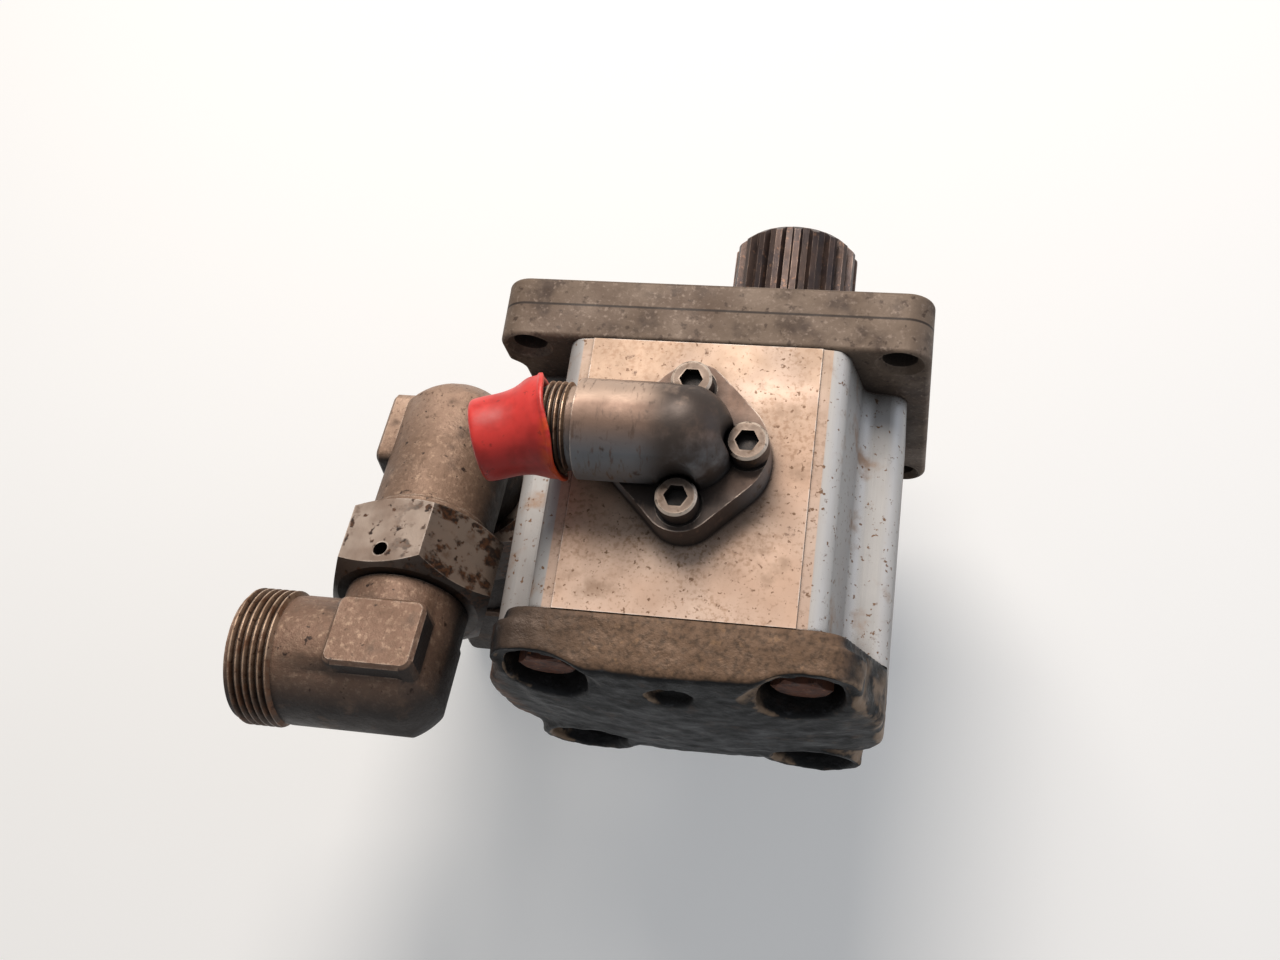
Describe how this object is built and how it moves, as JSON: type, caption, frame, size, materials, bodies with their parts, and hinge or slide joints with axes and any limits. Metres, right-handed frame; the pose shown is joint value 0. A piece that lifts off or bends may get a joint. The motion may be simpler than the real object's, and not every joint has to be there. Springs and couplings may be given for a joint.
{
  "type": "hydraulic gear pump",
  "caption": "Hydraulic gear pump with a rectangular mounting flange, splined drive coupling, flanged pressure elbow with a plastic cap, and a suction line of swivel elbows.",
  "frame": {"origin": "where the drive shaft's axis meets the mounting flange's front face", "axes": "+Y out along the drive shaft, +Z out of the pressure port, X along the line of the two gears with the driven gear on -X"},
  "size_m": [0.171, 0.1541, 0.1676],
  "materials": {
    "cast_aluminium": "rough",
    "extruded_aluminium": "satin",
    "cast_cover": "rough",
    "gear_steel": "ground",
    "bearing_aluminium": "satin",
    "bearing_bronze": "satin",
    "seal_rubber": "matte",
    "spring_steel": "satin",
    "oily_steel": "oily",
    "fastener_steel": "satin",
    "rusty_bolt_steel": "rusty",
    "plated_elbow_steel": "satin",
    "black_screw_steel": "satin",
    "red_plastic": "satin",
    "forged_elbow_steel": "satin",
    "plated_nut_steel": "satin"
  },
  "bodies": {
    "pump": {"mounting_flange": "cast_aluminium", "gear_housing": "extruded_aluminium", "rear_cover": "cast_cover", "front_bushing_block": "bearing_aluminium", "rear_bushing_block": "bearing_aluminium", "front_journal_sleeves": "bearing_bronze", "rear_journal_sleeves": "bearing_bronze", "front_block_seal": "seal_rubber", "rear_block_seal": "seal_rubber", "front_housing_seal": "seal_rubber", "rear_housing_seal": "seal_rubber", "shaft_seal": "seal_rubber", "seal_retaining_ring": "spring_steel", "body_bolts": "rusty_bolt_steel", "body_bolt_washers": "rusty_bolt_steel", "locating_dowels": "gear_steel", "pressure_elbow": "plated_elbow_steel", "pressure_elbow_screws": "black_screw_steel", "pressure_port_ring": "seal_rubber", "suction_elbow": "forged_elbow_steel", "suction_elbow_screws": "black_screw_steel", "suction_port_ring": "seal_rubber"},
    "drive_shaft": {"drive_gear_shaft": "gear_steel", "drive_coupling": "oily_steel", "coupling_key": "gear_steel", "coupling_nut": "fastener_steel", "coupling_washer": "fastener_steel"},
    "driven_shaft": {"driven_gear_shaft": "gear_steel"},
    "lower_elbow": {"lower_swivel_elbow": "forged_elbow_steel", "lower_lock_wire": "spring_steel", "lower_cone_ring": "seal_rubber"},
    "upper_elbow": {"upper_swivel_elbow": "forged_elbow_steel", "upper_lock_wire": "spring_steel", "upper_cone_ring": "seal_rubber"},
    "outlet_elbow": {"outlet_swivel_elbow": "forged_elbow_steel", "outlet_lock_wire": "spring_steel", "outlet_cone_ring": "seal_rubber"},
    "lower_nut": {"lower_swivel_nut": "plated_nut_steel"},
    "upper_nut": {"upper_swivel_nut": "plated_nut_steel"},
    "outlet_nut": {"outlet_swivel_nut": "plated_nut_steel"},
    "cap": {"pressure_cap": "red_plastic"}
  },
  "joints": [
    {"name": "drive_shaft_spin", "type": "hinge", "parent": "pump", "child": "drive_shaft", "pos_m": [0, 0, 0], "axis": [0, 1, 0], "continuous": true},
    {"name": "driven_shaft_spin", "type": "hinge", "parent": "pump", "child": "driven_shaft", "pos_m": [-0.0312, 0, 0], "axis": [0, 1, 0], "continuous": true},
    {"name": "lower_elbow_swivel", "type": "hinge", "parent": "pump", "child": "lower_elbow", "pos_m": [-0.0926, -0.05, -0.072], "axis": [1, 0, 0], "range_deg": [-12, 100]},
    {"name": "upper_elbow_swivel", "type": "hinge", "parent": "lower_elbow", "child": "upper_elbow", "pos_m": [-0.0926, -0.0327, -0.00262], "axis": [0, 0.2419, 0.9703], "range_deg": [-120, 3]},
    {"name": "outlet_elbow_swivel", "type": "hinge", "parent": "upper_elbow", "child": "outlet_elbow", "pos_m": [-0.0926, -0.10208, 0.01467], "axis": [0, -0.9703, 0.2419], "range_deg": [-90, 90]},
    {"name": "lower_nut_turn", "type": "hinge", "parent": "lower_elbow", "child": "lower_nut", "pos_m": [-0.0926, -0.05, -0.072], "axis": [1, 0, 0], "continuous": true},
    {"name": "upper_nut_turn", "type": "hinge", "parent": "upper_elbow", "child": "upper_nut", "pos_m": [-0.0926, -0.0327, -0.00262], "axis": [0, 0.2419, 0.9703], "continuous": true},
    {"name": "outlet_nut_turn", "type": "hinge", "parent": "outlet_elbow", "child": "outlet_nut", "pos_m": [-0.0926, -0.10208, 0.01467], "axis": [0, -0.9703, 0.2419], "continuous": true},
    {"name": "cap_pull_off", "type": "slide", "parent": "pump", "child": "cap", "axis": [-1, 0, 0], "range_m": [0, 0.03]}
  ],
  "couplings": [
    {"joint": "driven_shaft_spin", "follows": "drive_shaft_spin", "ratio": -1}
  ]
}
